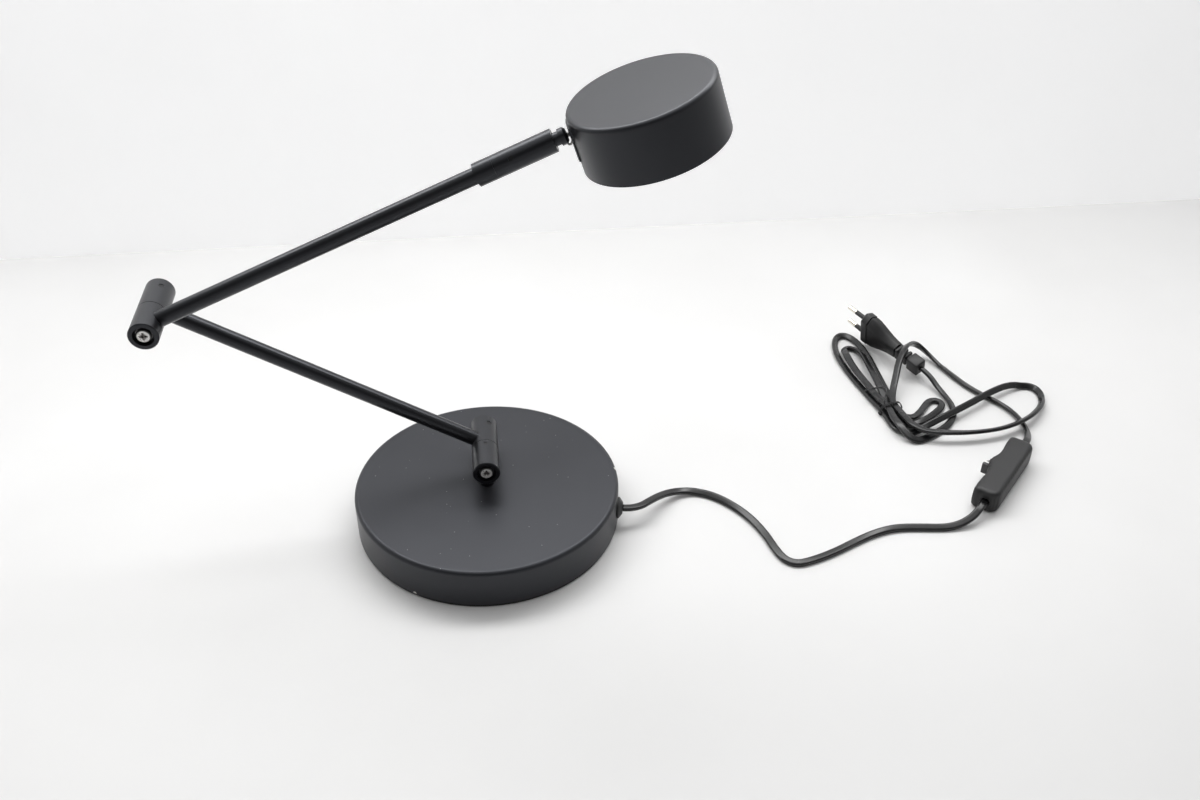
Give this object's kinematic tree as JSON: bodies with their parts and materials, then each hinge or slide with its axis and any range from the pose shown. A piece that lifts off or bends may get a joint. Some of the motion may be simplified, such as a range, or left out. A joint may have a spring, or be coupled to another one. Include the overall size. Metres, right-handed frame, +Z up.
{
  "type": "two-arm desk lamp",
  "caption": "Swing-arm desk lamp with a weighted round base, friction barrel joints, a ball-jointed drum head, and a corded switch and plug.",
  "frame": {"origin": "centre of the foot pad on the table", "axes": "+Z up, +X towards the drum head, +Y away from the barrels' screw heads"},
  "size_m": [0.669, 0.2999, 0.3251],
  "materials": {
    "shell_paint": "satin",
    "arm_paint": "satin",
    "head_paint": "satin",
    "zinc": "satin",
    "weight_iron": "matte",
    "pad_rubber": "matte",
    "cord_pvc": "satin",
    "black_plastic": "satin",
    "nylon": "satin",
    "pin_metal": "polished",
    "board_white": "satin",
    "sink_alu": "satin",
    "diffuser_white": "satin"
  },
  "bodies": {
    "base": {"base_shell": "shell_paint", "foot_pad": "pad_rubber", "base_plate": "zinc", "base_weight": "weight_iron", "plate_screw_1": "zinc", "plate_screw_2": "zinc", "plate_screw_3": "zinc", "driver_box": "black_plastic", "cord_clamp": "black_plastic", "clamp_screw": "zinc", "cord_grommet": "cord_pvc", "mains_tail": "cord_pvc", "stem_bush": "nylon", "cord_lead": "cord_pvc", "switch_back": "black_plastic", "switch_cover": "black_plastic", "switch_screw_1": "zinc", "switch_screw_2": "zinc", "cord_bundle": "cord_pvc", "cord_tie": "zinc", "plug_body": "cord_pvc", "plug_pin_1": "pin_metal", "plug_pin_2": "pin_metal"},
    "switch_key": {"switch_rocker": "black_plastic"},
    "post": {"stem_tube": "arm_paint", "stem_nut": "zinc", "stem_lead": "cord_pvc", "base_barrel_front": "arm_paint", "base_seam_washer": "nylon", "stop_screw": "arm_paint"},
    "lower_arm": {"base_barrel_rear": "arm_paint", "base_pivot_screw": "zinc", "base_spring_washer": "zinc", "base_thread_plug": "zinc", "base_grub_screw": "zinc", "lower_tube": "arm_paint", "lower_lead": "cord_pvc", "elbow_barrel_rear": "arm_paint", "elbow_pivot_screw": "zinc", "elbow_spring_washer": "zinc", "elbow_thread_plug": "zinc", "elbow_grub_screw": "zinc"},
    "upper_arm": {"elbow_barrel_front": "arm_paint", "elbow_seam_washer": "nylon", "upper_tube": "arm_paint", "upper_lead": "cord_pvc", "stop_collar": "arm_paint"},
    "sleeve": {"swivel_sleeve": "arm_paint", "sleeve_screw": "zinc", "neck": "arm_paint", "socket_cap": "arm_paint"},
    "head": {"ball_stud": "zinc", "saddle_plate": "arm_paint", "stud_nut": "zinc", "head_shell": "head_paint", "heat_sink": "sink_alu", "light_board": "board_white", "head_ring": "black_plastic", "diffuser": "diffuser_white"}
  },
  "joints": [
    {"name": "stem_swivel", "type": "hinge", "parent": "base", "child": "post", "pos_m": [0, 0, 0.03], "axis": [0, 0, 1], "range_deg": [-170, 170]},
    {"name": "base_hinge", "type": "hinge", "parent": "post", "child": "lower_arm", "pos_m": [0, 0.0117, 0.0492], "axis": [0, 1, 0], "range_deg": [-30, 60]},
    {"name": "elbow_hinge", "type": "hinge", "parent": "lower_arm", "child": "upper_arm", "pos_m": [-0.20097, 0.0117, 0.17444], "axis": [0, -1, 0], "range_deg": [-38, 150]},
    {"name": "sleeve_swivel", "type": "hinge", "parent": "upper_arm", "child": "sleeve", "pos_m": [0.0572, 0, 0.28552], "axis": [0.9186, 0, 0.3952], "range_deg": [-170, 170]},
    {"name": "head_tilt", "type": "hinge", "parent": "sleeve", "child": "head", "pos_m": [0.0572, 0, 0.28552], "axis": [0, 1, 0], "range_deg": [-23, 12]},
    {"name": "switch_key", "type": "hinge", "parent": "base", "child": "switch_key", "pos_m": [0.37472, -0.00051, 0.009], "axis": [0, 0, 1], "range_deg": [0, 16]}
  ]
}
